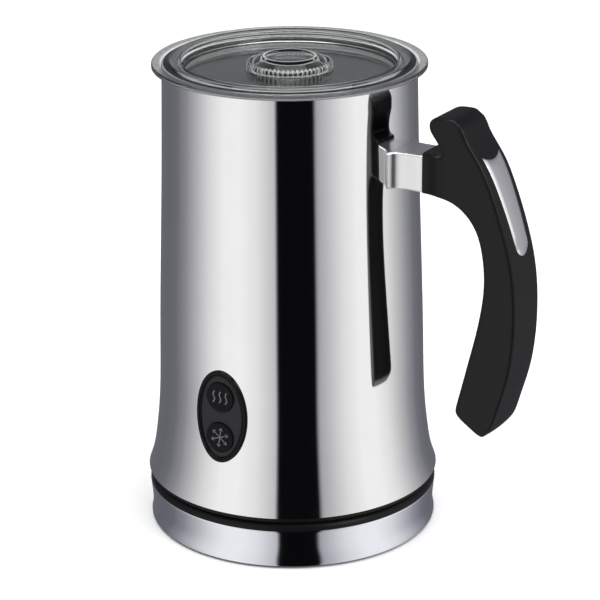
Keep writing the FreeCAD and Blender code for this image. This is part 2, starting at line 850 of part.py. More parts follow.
def handle_grip():
    body = grip_body()
    rounded = [e for e in body.Edges if e.BoundBox.YLength < 0.01 and e.BoundBox.XLength > HANDLE_W]
    body = body.makeFillet(HANDLE_EDGE, rounded)
    wedge = outline([(seam_x - 1, NECK_W / 2), (seam_x, NECK_W / 2),
                     [(seam_x + 3.0, NECK_W / 2 + 0.3), (seam_x + 6.5, NECK_W / 2 + 1.3),
                      (seam_x + 10.5, HANDLE_W / 2 + 0.01)], (seam_x - 1, HANDLE_W / 2 + 0.01)], in_xy)
    wedge = wedge.extrude(V(0, 0, BRACKET_H + 4))
    wedge.translate(V(0, 0, bracket_top - BRACKET_H - 1))
    body = body.cut(wedge).cut(wedge.mirror(O, Y))
    body = body.cut(tenon(SEAT))
    head_at = seam_x + TENON_L + 3.0
    body = body.cut(across(2.0 + SEAT, 10, (seam_x + TENON_L - 1, 0, bracket_mid)))
    body = body.cut(across(3.6 + SEAT, 40, (head_at, 0, bracket_mid)))
    return body.cut(inlay_solid(SEAT))


def grip_screw():
    one = screw(3.6, 2.4, 2.0, 13.0)
    one.rotate(O, Y, -90)
    one.translate(V(seam_x + TENON_L + 3.0, 0, bracket_mid))
    return one


def inlay_solid(grow):
    """A tapered strip that follows the grip's outer line, with a hollowed top end and a round bottom end."""
    upper = [p for p in OUTER_LINE if p[1] < 80]
    outer = grip_line(upper, INLAY_PROUD)
    inner = grip_line(upper, -INLAY_DEPTH - grow)
    inner.reverse()
    strip = outline([outer[0], outer[1:], inner[0], inner[1:]], in_xz)
    strip.translate(V(0, -HANDLE_W / 2, 0))
    strip = strip.extrude(V(0, HANDLE_W, 0))
    top = rim_z - INLAY_TOP_DROP + grow
    low = rim_z - INLAY_END_DROP - grow
    half_top = INLAY_TOP_W / 2 + grow
    half_end = INLAY_END_W / 2 + grow
    shape = outline([(half_end, low + half_end), (half_top, top), [(0, top - INLAY_HOLLOW), (-half_top, top)],
                     (-half_end, low + half_end), [(0, low), (half_end, low + half_end)]], in_yz)
    return strip.common(shape.extrude(V(SHELL_R + 80, 0, 0)))


def handle_inlay():
    return inlay_solid(0.0)


# Whisk

def whisk_post():
    flange = ring(0, 5.0, floor_z, floor_z + 1.0)
    top = floor_z + 1.0 + WHISK_POST_L
    post = ring(0, WHISK_POST_R, floor_z, top)
    post = post.makeChamfer(0.5, [e for e in post.Edges if e.CenterOfMass.z > top - 0.1])
    return flange.fuse(post)


def sleeve_outer():
    return WHISK_POST_R + FIT + SLEEVE_WALL


def whisk_sleeve():
    low = floor_z + 1.0
    tube = ring(0, sleeve_outer(), low, low + WHISK_POST_L)
    collar = ring(0, sleeve_outer() + 1.6, low, low + 1.0)
    return tube.fuse(collar).cut(ring(0, WHISK_POST_R + FIT, low - 1, low + 20))


def coil_z():
    return floor_z + 2.0 + 0.4 + WHISK_DISC_T / 2


def whisk_hub():
    low = floor_z + 2.0
    disc_low = low + 0.4
    hub = ring(0, sleeve_outer() + 1.9, low, low + WHISK_HUB_H)
    hub = hub.fuse(ring(0, COIL_R - 1.0, disc_low, disc_low + WHISK_DISC_T))
    hub = hub.cut(ring(0, sleeve_outer() + FIT, low - 1, low + WHISK_HUB_H + 1))
    window = ring(0, 2.3, low, low + 8, MAGNET_PITCH_R, 0)
    for one in around(window, MAGNET_COUNT, 180.0 / MAGNET_COUNT):
        hub = hub.cut(one)
    for x, y in magnet_places():
        hub = hub.cut(ring(0, MAGNET_R + FIT, disc_low - 1, disc_low + MAGNET_T, x, y))
    return hub.cut(Part.makeTorus(COIL_R, COIL_TUBE_R + FIT, V(0, 0, coil_z())))


def whisk_coil():
    return Part.makeTorus(COIL_R, COIL_TUBE_R, V(0, 0, coil_z()))


def whisk_magnets():
    low = floor_z + 2.4
    return Part.makeCompound([ring(0, MAGNET_R, low, low + MAGNET_T, x, y) for x, y in magnet_places()])


# Lid

def lid():
    flange = SHELL_R + LID_OVERHANG
    top = rim_z + LID_T
    bead = top + LID_BEAD_H
    plug = pot_r - LID_PLUG_GAP
    recess = pot_r - 2.3
    bead_r = recess + LID_BEAD_W
    floor = rim_z - LID_FLOOR_DROP
    under = floor - LID_WALL
    plug_low = rim_z - LID_PLUG_H
    groove = plug - 1.0
    seal_low = plug_low + 1.3
    seal_high = seal_low + SEAL_H
    knob_top = floor + KNOB_H
    outer = [(plug, plug_low), (plug, seal_low - SEAT), (groove, seal_low - SEAT), (groove, seal_high + SEAT),
             (plug, seal_high + SEAT), (plug, rim_z), (flange - 0.3, rim_z), (flange, rim_z + 0.3),
             (flange, top - 0.6), [(flange - 0.18, top - 0.18), (flange - 0.6, top)],
             (bead_r + 0.5, top), [(bead_r, top + 0.5), (bead_r - 0.9, bead)],
             (recess + 0.8, bead), [(recess + 0.2, bead - 0.2), (recess, bead - 0.8)], (recess - 0.5, floor)]
    knob = [(KNOB_R, floor), (KNOB_R, knob_top - 2.7), [(KNOB_R - 0.8, knob_top - 2.1),
            (KNOB_R - 2.6, knob_top - 1.5)], (KNOB_TOP_R + 0.8, knob_top - 0.4),
            [(KNOB_TOP_R + 0.4, knob_top), (KNOB_TOP_R - 0.4, knob_top)],
            [(KNOB_TOP_R - 1.3, knob_top - 0.45), (KNOB_TOP_R - 2.6, knob_top - 0.6)], (0, knob_top - 0.6)]
    inner_r = KNOB_R - LID_WALL
    hollow = [(0, knob_top - 0.6 - LID_WALL), (KNOB_TOP_R, knob_top - 0.6 - LID_WALL),
              (inner_r - 1.0, floor + 0.2), (inner_r, floor - 0.8), (inner_r, under),
              (plug - LID_WALL - 0.6, under), (plug - LID_WALL, plug_low)]
    body = turned(outer + knob + hollow)
    flute = ring(0, FLUTE_R, floor + 0.3, knob_top - 1.7, KNOB_R + 0.25, 0)
    for one in around(flute, KNOB_FLUTES):
        body = body.cut(one)
    return body


def lid_seal():
    low = rim_z - LID_PLUG_H + 1.3
    high = low + SEAL_H
    inner = pot_r - LID_PLUG_GAP - 1.0 + FIT
    root = pot_r - LID_PLUG_GAP + 0.05
    lip = pot_r - GAP
    return turned([(inner, low), (root, low), (lip, low + 0.5), (lip, low + 0.9), (root, low + 1.3),
                   (root, high - 1.3), (lip, high - 0.9), (lip, high - 0.5), (root, high), (inner, high)])


NODES = {
    "foot_ring": foot_ring, "base_bottom_plate": base_bottom_plate, "base_plate_screws": base_plate_screws,
    "base_band": base_band, "base_housing": base_housing, "cord_grommet": cord_grommet,
    "base_connector": base_connector, "connector_screws": connector_screws, "base_contacts": base_contacts,
    "jug_connector": jug_connector, "jug_contacts": jug_contacts,
    "bottom_cover": bottom_cover, "bottom_cover_screws": bottom_cover_screws, "outer_shell": outer_shell,
    "milk_pot": milk_pot, "heat_plate": heat_plate, "heater_element": heater_element,
    "thermal_cutoff": thermal_cutoff, "temperature_sensor": temperature_sensor, "frame_posts": frame_posts,
    "post_spacers": post_spacers, "motor_bracket": motor_bracket, "motor_screws": motor_screws,
    "motor_can": motor_can, "motor_end_cap": motor_end_cap, "motor_bushing": motor_bushing,
    "motor_field_magnets": motor_field_magnets, "motor_armature": motor_armature, "motor_shaft": motor_shaft,
    "drive_hub": drive_hub, "drive_magnets": drive_magnets,
    "power_board": power_board, "board_screws": board_screws, "board_relay": board_relay,
    "board_capacitor": board_capacitor,
    "panel_bezel": panel_bezel, "panel_face": panel_face, "panel_frame": panel_frame,
    "button_board": button_board, "button_board_screws": button_board_screws, "tact_switches": tact_switches,
    "indicator_leds": indicator_leds,
    "handle_bracket": handle_bracket, "bracket_screws": bracket_screws,
    "handle_backing_plate": handle_backing_plate, "handle_grip": handle_grip, "grip_screw": grip_screw,
    "handle_inlay": handle_inlay,
    "whisk_post": whisk_post, "whisk_sleeve": whisk_sleeve, "whisk_hub": whisk_hub, "whisk_coil": whisk_coil,
    "whisk_magnets": whisk_magnets,
    "lid": lid, "lid_seal": lid_seal,
}

os.makedirs("parts", exist_ok=True)
for name, make in NODES.items():
    make().exportStep("parts/" + name + ".step")
for name, z in button_heights().items():
    button_cap(z).exportStep("parts/" + name + "_button_cap.step")
    switch_plunger(z).exportStep("parts/" + name + "_switch_plunger.step")
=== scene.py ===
from math import cos, pi, radians, sin, sqrt, tan, tau

import bmesh
import bpy
import numpy as np
from mathutils import Matrix, Vector


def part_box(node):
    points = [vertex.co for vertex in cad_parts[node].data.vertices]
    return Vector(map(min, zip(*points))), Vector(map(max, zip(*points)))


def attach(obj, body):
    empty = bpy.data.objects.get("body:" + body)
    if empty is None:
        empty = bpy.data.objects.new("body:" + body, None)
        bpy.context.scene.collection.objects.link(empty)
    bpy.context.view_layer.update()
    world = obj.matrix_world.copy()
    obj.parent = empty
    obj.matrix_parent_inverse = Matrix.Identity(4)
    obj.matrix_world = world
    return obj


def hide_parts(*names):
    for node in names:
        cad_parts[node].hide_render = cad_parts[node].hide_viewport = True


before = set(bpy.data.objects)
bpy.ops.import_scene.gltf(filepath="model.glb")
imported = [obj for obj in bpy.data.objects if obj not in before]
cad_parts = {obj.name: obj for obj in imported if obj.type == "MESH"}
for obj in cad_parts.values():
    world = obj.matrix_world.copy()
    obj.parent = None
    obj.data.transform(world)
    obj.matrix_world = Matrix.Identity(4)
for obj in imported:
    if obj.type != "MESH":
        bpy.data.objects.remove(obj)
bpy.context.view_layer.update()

MM = 0.001

# Where the frother is looked at from: the camera stands to the right of the button panel, a little above
# the lid, and looks down at the middle of the jug.

VIEW_AZIMUTH = radians(31.4)
VIEW_DISTANCE = 0.87587
VIEW_HEIGHT = 0.41414
VIEW_DOWN = radians(20.415)
VIEW_YAW = radians(0.216)
VIEW_ROLL = radians(-0.383)
LENS = 144

camera = bpy.data.objects.new("camera", bpy.data.cameras.new("camera"))
bpy.context.scene.collection.objects.link(camera)
camera.data.lens = LENS
camera.data.sensor_width = 36
camera.data.clip_end = 20
tilt = Matrix.Rotation(VIEW_AZIMUTH - VIEW_YAW, 4, "Z") @ Matrix.Rotation(pi / 2 - VIEW_DOWN, 4, "X")
stand = Vector((VIEW_DISTANCE * sin(VIEW_AZIMUTH), -VIEW_DISTANCE * cos(VIEW_AZIMUTH), VIEW_HEIGHT))
camera.matrix_world = Matrix.Translation(stand) @ tilt @ Matrix.Rotation(VIEW_ROLL, 4, "Z")
bpy.context.scene.camera = camera
bpy.context.scene.view_settings.view_transform = "Standard"


# The studio: a round tent with two soft light boxes and a black card between them under a dark ceiling, two
# soft lamps and a pale table top. Only what shines shows the boxes, and the rest is lit by white walls.

class Value:
    """One socket in a tree of nodes. Sums, products and comparisons of values add the nodes for them."""

    def __init__(self, tree, socket):
        self.tree = tree
        self.socket = socket

    def math(self, operation, first, second=0.0):
        return self.tree.node("ShaderNodeMath", {"operation": operation}, {0: first, 1: second})

    def __add__(self, other):
        return self.math("ADD", self, other)

    __radd__ = __add__

    def __sub__(self, other):
        return self.math("SUBTRACT", self, other)

    def __rsub__(self, other):
        return self.math("SUBTRACT", other, self)

    def __mul__(self, other):
        return self.math("MULTIPLY", self, other)

    __rmul__ = __mul__

    def __gt__(self, other):
        return self.math("GREATER_THAN", self, other)


class Tree:
    """A tree of nodes that is built up one node at a time."""

    def __init__(self, owner):
        owner.use_nodes = True
        self.nodes = owner.node_tree.nodes
        self.links = owner.node_tree.links
        self.nodes.clear()

    def put(self, socket, value):
        if isinstance(value, Value):
            self.links.new(value.socket, socket)
        elif socket.type == "RGBA" and len(value) == 3:
            socket.default_value = (*value, 1)
        else:
            socket.default_value = value

    def node(self, kind, settings=None, values=None, output=0):
        made = self.nodes.new(kind)
        for name, setting in (settings or {}).items():
            if name == "stops":
                ramp = made.color_ramp.elements
                for _ in range(len(setting) - len(ramp)):
                    ramp.new(1.0)
                for element, (place, colour) in zip(ramp, setting):
                    element.position = place
                    element.color = (*colour, 1)
            else:
                setattr(made, name, setting)
        for name, value in (values or {}).items():
            self.put(made.inputs[name], value)
        return Value(self, made.outputs[output]) if made.outputs else made

    def mix(self, share, first, second):
        return self.node("ShaderNodeMix", {"data_type": "RGBA"}, {0: share, 6: first, 7: second}, 2)


def light_of(grey, cool=0.0):
    """A colour from a shade of 0 to 255 as the eye grades it, made cooler by a share."""
    share = grey / 255
    plain = share / 12.92 if share <= 0.04045 else ((share + 0.055) / 1.055) ** 2.4
    return (plain * (1 - cool * 0.4), plain * (1 - cool * 0.3), plain * (1 + cool))


STEEL_SHINE = 0.86        # how much light polished steel gives back
BOX_MIDDLES = (-50, 68)   # degrees from the camera round to the two light boxes
BOX_FACE = 5              # half of a box's even face, in degrees
BOX_FADE = 75             # how far its light fades to each side
BOX_SHADE = 240
BACK_SHADE = 100          # the tent behind the object
CARD_SHADE = 10
CARD_LEFT = (-14, -12)    # the soft sides of the black card that hangs between the boxes
CARD_RIGHT = (20, 23)
CEILING = (0.12, 0.12, 0.125)
SEEN_THROUGH = 0.45       # how white the tent looks through clear plastic
LIT_WHITE = 0.9           # how white it is for the light that falls on dull surfaces


def wall_shade(degrees):
    """The tent's shade in one direction from the camera: the nearer box, fading softly into the dim back."""
    away = min(abs(degrees - middle) for middle in BOX_MIDDLES)
    light = min(1, max(0, 1 - (away - BOX_FACE) / BOX_FADE))
    light = light * light * (3 - 2 * light)
    return BACK_SHADE + (BOX_SHADE - BACK_SHADE) * light


world = bpy.data.worlds.new("studio")
bpy.context.scene.world = world
studio = Tree(world)
look = studio.node("ShaderNodeTexCoord")
ahead = studio.node("ShaderNodeVectorRotate", {"rotation_type": "Z_AXIS"},
                    {"Vector": look, "Angle": pi / 2 - VIEW_AZIMUTH})
split = studio.node("ShaderNodeSeparateXYZ", None, {0: ahead})
side = Value(studio, split.socket.node.outputs[1])
height = Value(studio, split.socket.node.outputs[2])
turn = side.math("ARCTAN2", side, split) * (1 / tau) + 0.5
around = [d for d in range(-180, 181, 15) if not CARD_LEFT[0] < d < CARD_RIGHT[1]]
shades = [(d, wall_shade(d)) for d in around + [CARD_LEFT[0], CARD_RIGHT[1]]]
shades += [(CARD_LEFT[1], CARD_SHADE), (CARD_RIGHT[0], CARD_SHADE)]
stops = []
for degrees, shade in sorted(shades):
    colour = light_of(shade, 0.22 * max(0.0, 1 - shade / 200))
    stops.append((degrees / 360 + 0.5, tuple(channel / STEEL_SHINE for channel in colour)))
walls = studio.node("ShaderNodeValToRGB", {"stops": stops}, {0: turn})
ceiling = studio.node("ShaderNodeMapRange", {"interpolation_type": "SMOOTHSTEP"},
                      {"Value": height, "From Min": 0.5, "From Max": 0.8})
tent = studio.mix(ceiling, walls, CEILING)
paths = studio.node("ShaderNodeLightPath").socket.node.outputs
through = Value(studio, paths["Is Transmission Ray"]) * SEEN_THROUGH
direct = Value(studio, paths["Is Camera Ray"]) + Value(studio, paths["Is Diffuse Ray"]) * LIT_WHITE
seen = through.math("MAXIMUM", through, direct)
back = studio.node("ShaderNodeBackground", None, {"Color": studio.mix(seen, tent, (1.0, 1.0, 1.0))})
studio.node("ShaderNodeOutputWorld", None, {"Surface": back})


def soft_lamp(name, place, target, size, power):
    lamp = bpy.data.objects.new(name, bpy.data.lights.new(name, "AREA"))
    bpy.context.scene.collection.objects.link(lamp)
    lamp.data.shape = "DISK"
    lamp.data.size = size
    lamp.data.energy = power
    lamp.location = place
    lamp.rotation_euler = (Vector(target) - Vector(place)).to_track_quat("-Z", "Y").to_euler()


soft_lamp("overhead_lamp", (0.1, -0.1, 1.5), (0, 0, 0), 1.6, 15)
soft_lamp("right_lamp", (1.3, -0.3, 0.9), (0.05, 0, 0.12), 0.7, 5)

TABLE = 3.0
table = bpy.data.objects.new("table_top", bpy.data.meshes.new("table_top"))
bpy.context.scene.collection.objects.link(table)
table.data.from_pydata([(-TABLE, -TABLE, 0), (TABLE, -TABLE, 0), (TABLE, TABLE, 0), (-TABLE, TABLE, 0)], [],
                       [(0, 1, 2, 3)])
table.visible_glossy = False
laminate = Tree(bpy.data.materials.new("pale_table"))
mottle = laminate.node("ShaderNodeTexNoise", None, {"Scale": 8.0, "Detail": 3.0})
pale = laminate.mix(mottle, (0.93, 0.93, 0.93), (0.96, 0.96, 0.96))
matt = laminate.node("ShaderNodeBsdfPrincipled", None, {"Base Color": pale, "Roughness": 0.8})
laminate.node("ShaderNodeOutputMaterial", None, {"Surface": matt})
table.data.materials.append(bpy.data.materials["pale_table"])


# Outer shell: one sheet of stainless steel, drawn and flared towards its foot, turned in over the pot at the
# top and polished to a mirror. The panel's oval hole is punched through its front.

class Finish(Tree):
    """A material. Its places are measured on the piece itself, so that they travel with it."""

    def __init__(self, name):
        self.material = bpy.data.materials.new(name)
        super().__init__(self.material)
        self.place = self.node("ShaderNodeTexCoord", None, None, "Object")

    def noise(self, size, detail=2.0, stretch=(1, 1, 1)):
        """A soft noise whose spots are about that size, in metres, longer where the stretch is larger."""
        scale = [1 / (size * s) for s in stretch]
        place = self.node("ShaderNodeMapping", None, {"Vector": self.place, "Scale": scale})
        return self.node("ShaderNodeTexNoise", None, {"Vector": place, "Scale": 1.0, "Detail": detail})

    def relief(self, height, depth, strength=1.0):
        return self.node("ShaderNodeBump", None, {"Height": height, "Distance": depth, "Strength": strength})

    def shade(self, **values):
        named = {name.replace("_", " "): value for name, value in values.items()}
        body = self.node("ShaderNodeBsdfPrincipled", None, named)
        self.node("ShaderNodeOutputMaterial", None, {"Surface": body})
        return self.material


def metal(name, tint, rough, grain_depth=0.0, grain=(1, 1, 1)):
    """A metal with a little cloudiness in its polish and a fine grain along one direction."""
    finish = Finish(name)
    cloud = finish.noise(9 * MM, 3.0)
    lines = finish.noise(0.25 * MM, 2.0, grain)
    colour = finish.mix(cloud, [c * 0.96 for c in tint], tint)
    polish = rough * 0.8 + cloud * rough * 0.3 + lines * rough * 0.15
    return finish.shade(Base_Color=colour, Metallic=1.0, Roughness=polish,
                        Normal=finish.relief(lines, grain_depth, 0.6))


def smooth_line(points, count):
    """A natural cubic curve through points, as evenly spread points along it."""
    p = np.array(points, float)
    step = np.hypot(*np.diff(p, axis=0).T)
    along = np.concatenate([[0], np.cumsum(step)])
    last = len(p) - 1
    system = np.zeros((last + 1, last + 1))
    pull = np.zeros((last + 1, 2))
    system[0, 0] = system[last, last] = 1
    for i in range(1, last):
        system[i, i - 1:i + 2] = step[i - 1], 2 * (step[i - 1] + step[i]), step[i]
        pull[i] = 6 * ((p[i + 1] - p[i]) / step[i] - (p[i] - p[i - 1]) / step[i - 1])
    bend = np.linalg.solve(system, pull)
    t = np.linspace(0, along[-1], count)
    k = np.clip(np.searchsorted(along, t, "right") - 1, 0, last - 1)
    h = step[k][:, None]
    after = (t - along[k])[:, None]
    before = h - after
    curve = (bend[k] * before ** 3 + bend[k + 1] * after ** 3) / (6 * h)
    return curve + (p[k] / h - bend[k] * h / 6) * before + (p[k + 1] / h - bend[k + 1] * h / 6) * after


def rounded(corners, steps=5):
    """An outline from corners (x, y, radius), each rounded by that radius."""
    line = []
    for k, (x, y, radius) in enumerate(corners):
        here = Vector((x, y))
        back = (Vector(corners[k - 1][:2]) - here).normalized()
        onward = (Vector(corners[(k + 1) % len(corners)][:2]) - here).normalized()
        if radius <= 0:
            line.append((x, y))
            continue
        half = back.angle(onward) / 2
        centre = here + (back + onward).normalized() * radius / sin(half)
        first = here + back * radius / tan(half) - centre
        final = here + onward * radius / tan(half) - centre
        sweep = first.angle(final)
        for s in range(steps + 1):
            share = s / steps
            arm = (first * sin((1 - share) * sweep) + final * sin(share * sweep)) / sin(sweep)
            line.append(tuple(centre + arm))
    return line


def piece(name, points, faces, body, slot, material, *stands_for):
    """A new piece of the frother that moves with a body, shaded smooth except at its real edges."""
    mesh = bpy.data.meshes.new(name)
    mesh.from_pydata([tuple(p) for p in points], [], faces)
    shape = bmesh.new()
    shape.from_mesh(mesh)
    bmesh.ops.remove_doubles(shape, verts=shape.verts, dist=1e-7)
    bmesh.ops.recalc_face_normals(shape, faces=shape.faces)
    shape.to_mesh(mesh)
    shape.free()
    made = bpy.data.objects.new(name, mesh)
    bpy.context.scene.collection.objects.link(made)
    mesh.materials.append(material)
    even_shading(made)
    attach(made, body)
    if stands_for:
        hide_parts(*stands_for)
    return made


def even_shading(made, angle=34):
    made.data.shade_smooth()
    made.data.set_sharp_from_angle(angle=radians(angle))
    weighted = made.modifiers.new("even_shading", "WEIGHTED_NORMAL")
    weighted.keep_sharp = True


def lathe(line, columns=384, ripple=None):
    """Points and faces of a body turned about Z from (radius, height) points. A line that starts off the
    axis is a closed ring, and ripple may change the radius round the turn."""
    points, faces, rows = [], [], []
    for r, z in line:
        start = len(points)
        if r < 1e-7:
            points.append((0, 0, z))
            rows.append([start] * columns)
            continue
        for c in range(columns):
            angle = tau * c / columns
            reach = ripple(r, z, angle) if ripple else r
            points.append((reach * cos(angle), reach * sin(angle), z))
        rows.append(list(range(start, start + columns)))
    follow = rows[1:] + rows[:1] if line[0][0] > 1e-7 else rows[1:]
    for low, high in zip(rows, follow):
        for c in range(columns):
            n = (c + 1) % columns
            corners = [low[c], low[n], high[n], high[c]]
            faces.append(list(dict.fromkeys(corners)))
    return points, faces


def cut(made, *cutters):
    """Cuts closed shapes, given as (points, faces), out of a piece."""
    tools = []
    for points, faces in cutters:
        mesh = bpy.data.meshes.new("cutter")
        mesh.from_pydata([tuple(p) for p in points], [], faces)
        shape = bmesh.new()
        shape.from_mesh(mesh)
        bmesh.ops.recalc_face_normals(shape, faces=shape.faces)
        shape.to_mesh(mesh)
        shape.free()
        tool = bpy.data.objects.new("cutter", mesh)
        bpy.context.scene.collection.objects.link(tool)
        hollow = made.modifiers.new("hollow", "BOOLEAN")
        hollow.operation = "DIFFERENCE"
        hollow.solver = "EXACT"
        hollow.object = tool
        tools.append(tool)
    settle(made)
    for tool in tools:
        bpy.data.objects.remove(tool)
    even_shading(made)


def settle(made):
    """Applies a piece's modifiers to its mesh."""
    final = bpy.data.meshes.new_from_object(made.evaluated_get(bpy.context.evaluated_depsgraph_get()))
    made.modifiers.clear()
    made.data = final


def bar(outline, low, high, place):
    """A closed bar with that outline, from one depth to another. place(x, y, depth) gives its points."""
    count = len(outline)
    points = [place(x, y, low) for x, y in outline] + [place(x, y, high) for x, y in outline]
    faces = [list(range(count))[::-1], list(range(count, 2 * count))]
    for i in range(count):
        n = (i + 1) % count
        faces.append([i, n, n + count, i + count])
    return points, faces


shell_low, shell_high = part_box("outer_shell")
FLARE = [(0.96, 0), (0.725, 1.0), (0.53, 2.1), (0.316, 3.15), (0.162, 4.1), (0.083, 5.5), (0.03, 7.1),
         (0.0, 8.7)]      # share of the height, extra radius in millimetres
SHEET = 0.8 * MM
RIM_LIP = 2.5 * MM
shell_h = shell_high.z - shell_low.z
shell_r = shell_high.x - FLARE[-1][1] * MM
flare = smooth_line([(shell_r + extra * MM, shell_low.z + share * shell_h) for share, extra in FLARE], 90)


def shell_radius(z):
    return float(np.interp(z, flare[::-1, 1], flare[::-1, 0], right=shell_r))


def oval(wide, tall, middle, grow, count=160):
    """An oval outline round the panel's middle, grown by an amount all round."""
    half_w, half_h = wide / 2 + grow, tall / 2 + grow
    return [(half_w * cos(tau * i / count), middle + half_h * sin(tau * i / count)) for i in range(count)]


def facing(x, z, depth):
    """A point on the front, from its place across and up and its distance out from the axis."""
    return (x, -depth, z)


mirror_steel = metal("mirror_steel", (0.86, 0.86, 0.865), 0.055, 0.4e-6, (1, 1, 60))
outside = [tuple(p) for p in flare]
inside = [(r - SHEET, z) for r, z in reversed(outside)]
top = shell_high.z
lip = shell_r - RIM_LIP
curl = [(shell_r - 0.8 * MM * (1 - sin(radians(a))), top - 0.8 * MM * (1 - cos(radians(a))))
        for a in range(0, 91, 15)]
shell_line = inside + [(shell_r - SHEET, top - SHEET - 0.2 * MM), (shell_r - SHEET - 0.2 * MM, top - SHEET),
                       (lip, top - SHEET), (lip, top)] + curl + outside
outer_shell = piece("outer_shell_skin", *lathe(shell_line), "jug", "polished_steel", mirror_steel,
                    "outer_shell")
bezel_low, bezel_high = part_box("panel_bezel")
panel_w = bezel_high.x - bezel_low.x
panel_h = bezel_high.z - bezel_low.z
panel_z = (bezel_high.z + bezel_low.z) / 2
BEZEL_LAP = 1.2 * MM      # the bezel's overlap on the shell
front_in, front_out = shell_r - 13 * MM, shell_high.x + 8 * MM
cut(outer_shell, bar(oval(panel_w, panel_h, panel_z, -BEZEL_LAP), front_in, front_out, facing))


# Base band: a waisted band of bright steel pressed round the power base, with a hole at the back for the
# cord's grommet.

band_low, band_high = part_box("base_band")
BAND_WALL = 0.6 * MM
BAND_WAIST = 0.7 * MM
base_r = band_high.x
waist_r = base_r - BAND_WAIST
band_out = smooth_line([(base_r - 0.2 * MM, band_low.z + 0.6 * MM), (waist_r, band_low.z + 3.4 * MM),
                        (waist_r + 0.05 * MM, band_low.z + 8 * MM), (base_r, band_high.z - 0.25 * MM)], 30)
band_line = [(base_r - 0.35 * MM, band_low.z), (base_r - 0.22 * MM, band_low.z + 0.12 * MM)]
band_line += [tuple(p) for p in band_out]
band_line += [(base_r - 0.12 * MM, band_high.z), (base_r - 0.45 * MM, band_high.z)]
band_line += [(r - BAND_WALL, z) for r, z in band_out[::-1]] + [(base_r - 0.2 * MM - BAND_WALL, band_low.z)]
band_steel = metal("band_steel", (0.80, 0.82, 0.87), 0.07, 0.4e-6, (1, 1, 60))
band = piece("base_band_skin", *lathe(band_line), "power_base", "bright_band", band_steel, "base_band")
BUSH_FLANGE = 0.9 * MM
BUSH_GAP = 0.1 * MM
grommet_low, grommet_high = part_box("cord_grommet")
cord_z = (grommet_low.z + grommet_high.z) / 2
bush_r = (grommet_high.x - grommet_low.x) / 2 - BUSH_FLANGE + BUSH_GAP
ring_outline = [(bush_r * cos(tau * i / 48), cord_z + bush_r * sin(tau * i / 48)) for i in range(48)]
cut(band, bar(ring_outline, -base_r - 8 * MM, -base_r + 12 * MM, facing))


# Power base: a black moulded housing with a rounded shoulder, closed by a bottom plate on a rubber foot
# ring. The jug's own bottom cover shows as a thin black edge above the shoulder.

def plastic(name, tint, rough, grain=0.3 * MM, depth=4e-6, coat=0.0, shine=0.4):
    """A moulded plastic with a fine spark-eroded grain and faint flow marks in its colour and gloss."""
    finish = Finish(name)
    flow = finish.noise(16 * MM, 3.0)
    grains = finish.noise(grain, 2.0)
    colour = finish.mix(flow, tint, [c * 1.3 for c in tint])
    gloss = rough * 0.85 + flow * rough * 0.2 + grains * rough * 0.15
    return finish.shade(Base_Color=colour, Roughness=gloss, Coat_Weight=coat, Coat_Roughness=0.06,
                        Specular_IOR_Level=shine, Normal=finish.relief(grains, depth))


def dress(slot, material, bevel=0.0):
    """Gives every piece of a material slot its finish, with its sharp edges broken by a small bevel."""
    for name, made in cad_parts.items():
        if made.hide_render or made.data.materials[0].name != slot:
            continue
        made.data.materials[0] = material
        if bevel:
            weld = made.modifiers.new("weld", "WELD")
            weld.merge_threshold = 1e-6
            soft = made.modifiers.new("soft_edges", "BEVEL")
            soft.width = bevel
            soft.segments = 2
            soft.limit_method = "ANGLE"
            soft.angle_limit = radians(40)
            soft.harden_normals = False
            weighted = made.modifiers.new("even_shading", "WEIGHTED_NORMAL")
            weighted.keep_sharp = True


black_moulding = plastic("black_moulding", (0.004, 0.004, 0.0045), 0.32, shine=0.16)
foot_rubber = plastic("soft_rubber", (0.018, 0.018, 0.019), 0.75, 0.6 * MM, 12e-6)
dress("black_plastic", black_moulding)
dress("foot_rubber", foot_rubber)


# Milk pot: a drawn steel pot under a dark speckled non-stick coating, its flange held under the shell's lip.

coating = Finish("non_stick_coating")
specks = coating.noise(0.5 * MM, 2.0)
fleck = (specks > 0.66) * 0.7
slate = coating.mix(coating.noise(20 * MM), (0.055, 0.066, 0.062), (0.075, 0.088, 0.083))
non_stick = coating.shade(Base_Color=coating.mix(fleck, slate, (0.16, 0.17, 0.165)),
                          Roughness=0.34 + fleck * 0.2, Normal=coating.relief(specks, 8e-6))
pot_low, pot_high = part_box("milk_pot")
POT_WALL = 0.8 * MM
POT_CORNER = 6 * MM
pot_r = shell_r - 5.3 * MM
pot_floor = pot_low.z + POT_WALL
pot_line = rounded([(0, pot_low.z, 0), (pot_r + POT_WALL, pot_low.z, POT_CORNER + POT_WALL),
                    (pot_r + POT_WALL, pot_high.z - POT_WALL, 0), (pot_high.x, pot_high.z - POT_WALL, 0),
                    (pot_high.x, pot_high.z, 0), (pot_r, pot_high.z, 0.6 * MM),
                    (pot_r, pot_floor, POT_CORNER), (0, pot_floor, 0)], 10)
piece("milk_pot_liner", *lathe(pot_line, 192), "jug", "pot_coating", non_stick, "milk_pot")


# Whisk: a moulded hub with four magnets, carrying a spring of thin steel wire wound into a ring.

def tube(path, radius, sides=8):
    """A closed tube round a closed path of points."""
    points, faces = [], []
    count = len(path)
    for i in range(count):
        ahead_of = (path[(i + 1) % count] - path[i - 1]).normalized()
        across_it = ahead_of.cross(Vector((0, 0, 1))).normalized()
        over_it = across_it.cross(ahead_of)
        for s in range(sides):
            angle = tau * s / sides
            points.append(path[i] + (across_it * cos(angle) + over_it * sin(angle)) * radius)
    for i in range(count):
        n = (i + 1) % count
        for s in range(sides):
            t = (s + 1) % sides
            faces.append([i * sides + s, i * sides + t, n * sides + t, n * sides + s])
    return points, faces


